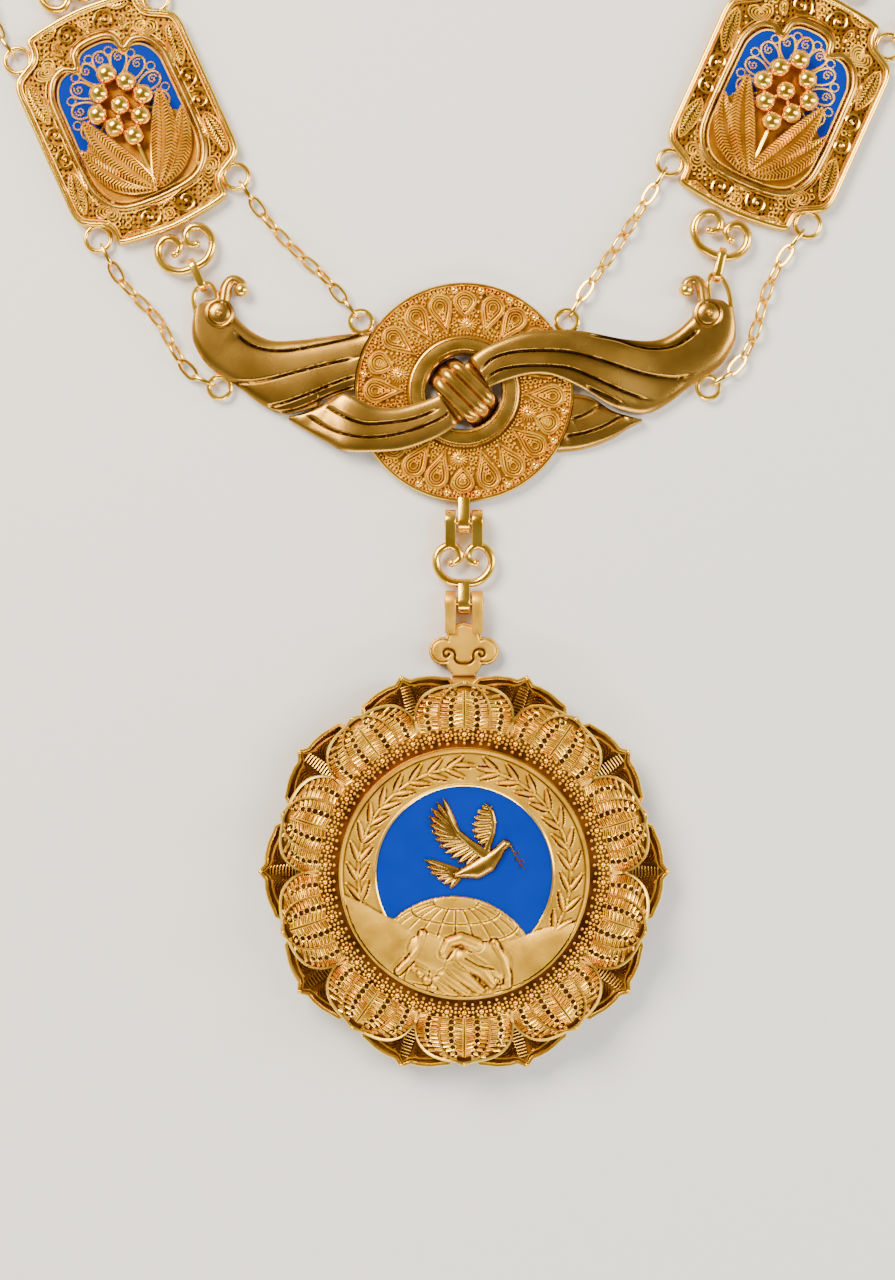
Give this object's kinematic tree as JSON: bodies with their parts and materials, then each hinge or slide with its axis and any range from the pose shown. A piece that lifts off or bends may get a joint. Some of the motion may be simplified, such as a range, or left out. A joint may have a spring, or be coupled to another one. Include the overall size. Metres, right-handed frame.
{
  "type": "award medal on a chain of office",
  "caption": "Gilt collar with a lotus badge on a hinged link, blue enamel, filigree plaques, a knotted centre and chains up to a plain clasp.",
  "frame": {"origin": "centre of the badge's flat back, on the surface that the jewel lies on", "axes": "+Z out of the badge's face, +Y from the badge up to the clasp behind the neck, +X to the right"},
  "size_m": [0.2158, 0.4609, 0.013],
  "materials": {
    "filigree_gilt": "gilt wire and granules",
    "polished_gilt": "polished gilt",
    "satin_gilt": "satin gilt",
    "sandblasted_gilt": "sandblasted gilt",
    "chain_gilt": "polished gilt",
    "blue_enamel": "glossy vitreous enamel"
  },
  "bodies": {
    "collar": {"knot_disc": "filigree_gilt", "knot_ring": "satin_gilt", "knot_strap": "satin_gilt", "right_wing_band": "satin_gilt", "left_wing": "satin_gilt", "right_lower_wing": "satin_gilt", "left_plaque_frame": "filigree_gilt", "left_plaque_enamel": "blue_enamel", "left_plaque_leaves": "filigree_gilt", "left_plaque_berries": "polished_gilt", "left_lower_scroll": "polished_gilt", "left_upper_scroll": "polished_gilt", "left_jump_link": "polished_gilt", "left_upper_jump_link": "polished_gilt", "left_gather_ring": "polished_gilt", "left_outer_festoon": "chain_gilt", "left_inner_festoon": "chain_gilt", "left_outer_side_chain": "chain_gilt", "left_inner_side_chain": "chain_gilt", "left_neck_chain": "chain_gilt", "right_plaque_frame": "filigree_gilt", "right_plaque_enamel": "blue_enamel", "right_plaque_leaves": "filigree_gilt", "right_plaque_berries": "polished_gilt", "right_lower_scroll": "polished_gilt", "right_upper_scroll": "polished_gilt", "right_jump_link": "polished_gilt", "right_upper_jump_link": "polished_gilt", "right_gather_ring": "polished_gilt", "right_outer_festoon": "chain_gilt", "right_inner_festoon": "chain_gilt", "right_outer_side_chain": "chain_gilt", "right_inner_side_chain": "chain_gilt", "right_neck_chain": "chain_gilt", "neck_clasp": "polished_gilt"},
    "connector": {"scroll_connector": "polished_gilt"},
    "badge": {"badge_back": "sandblasted_gilt", "badge_drum": "polished_gilt", "lotus_outer_tier": "filigree_gilt", "lotus_inner_tier": "filigree_gilt", "granule_ring": "filigree_gilt", "medallion": "sandblasted_gilt", "enamel_field": "blue_enamel", "dove": "polished_gilt", "cloud_bail": "sandblasted_gilt"}
  },
  "joints": [
    {"name": "upper_hinge", "type": "hinge", "parent": "collar", "child": "connector", "pos_m": [0, 0.0697, 0.0024], "axis": [-1, 0, 0], "range_deg": [-90, 90]},
    {"name": "lower_hinge", "type": "hinge", "parent": "connector", "child": "badge", "pos_m": [0, 0.0535, 0.0024], "axis": [-1, 0, 0], "range_deg": [-90, 90]}
  ]
}
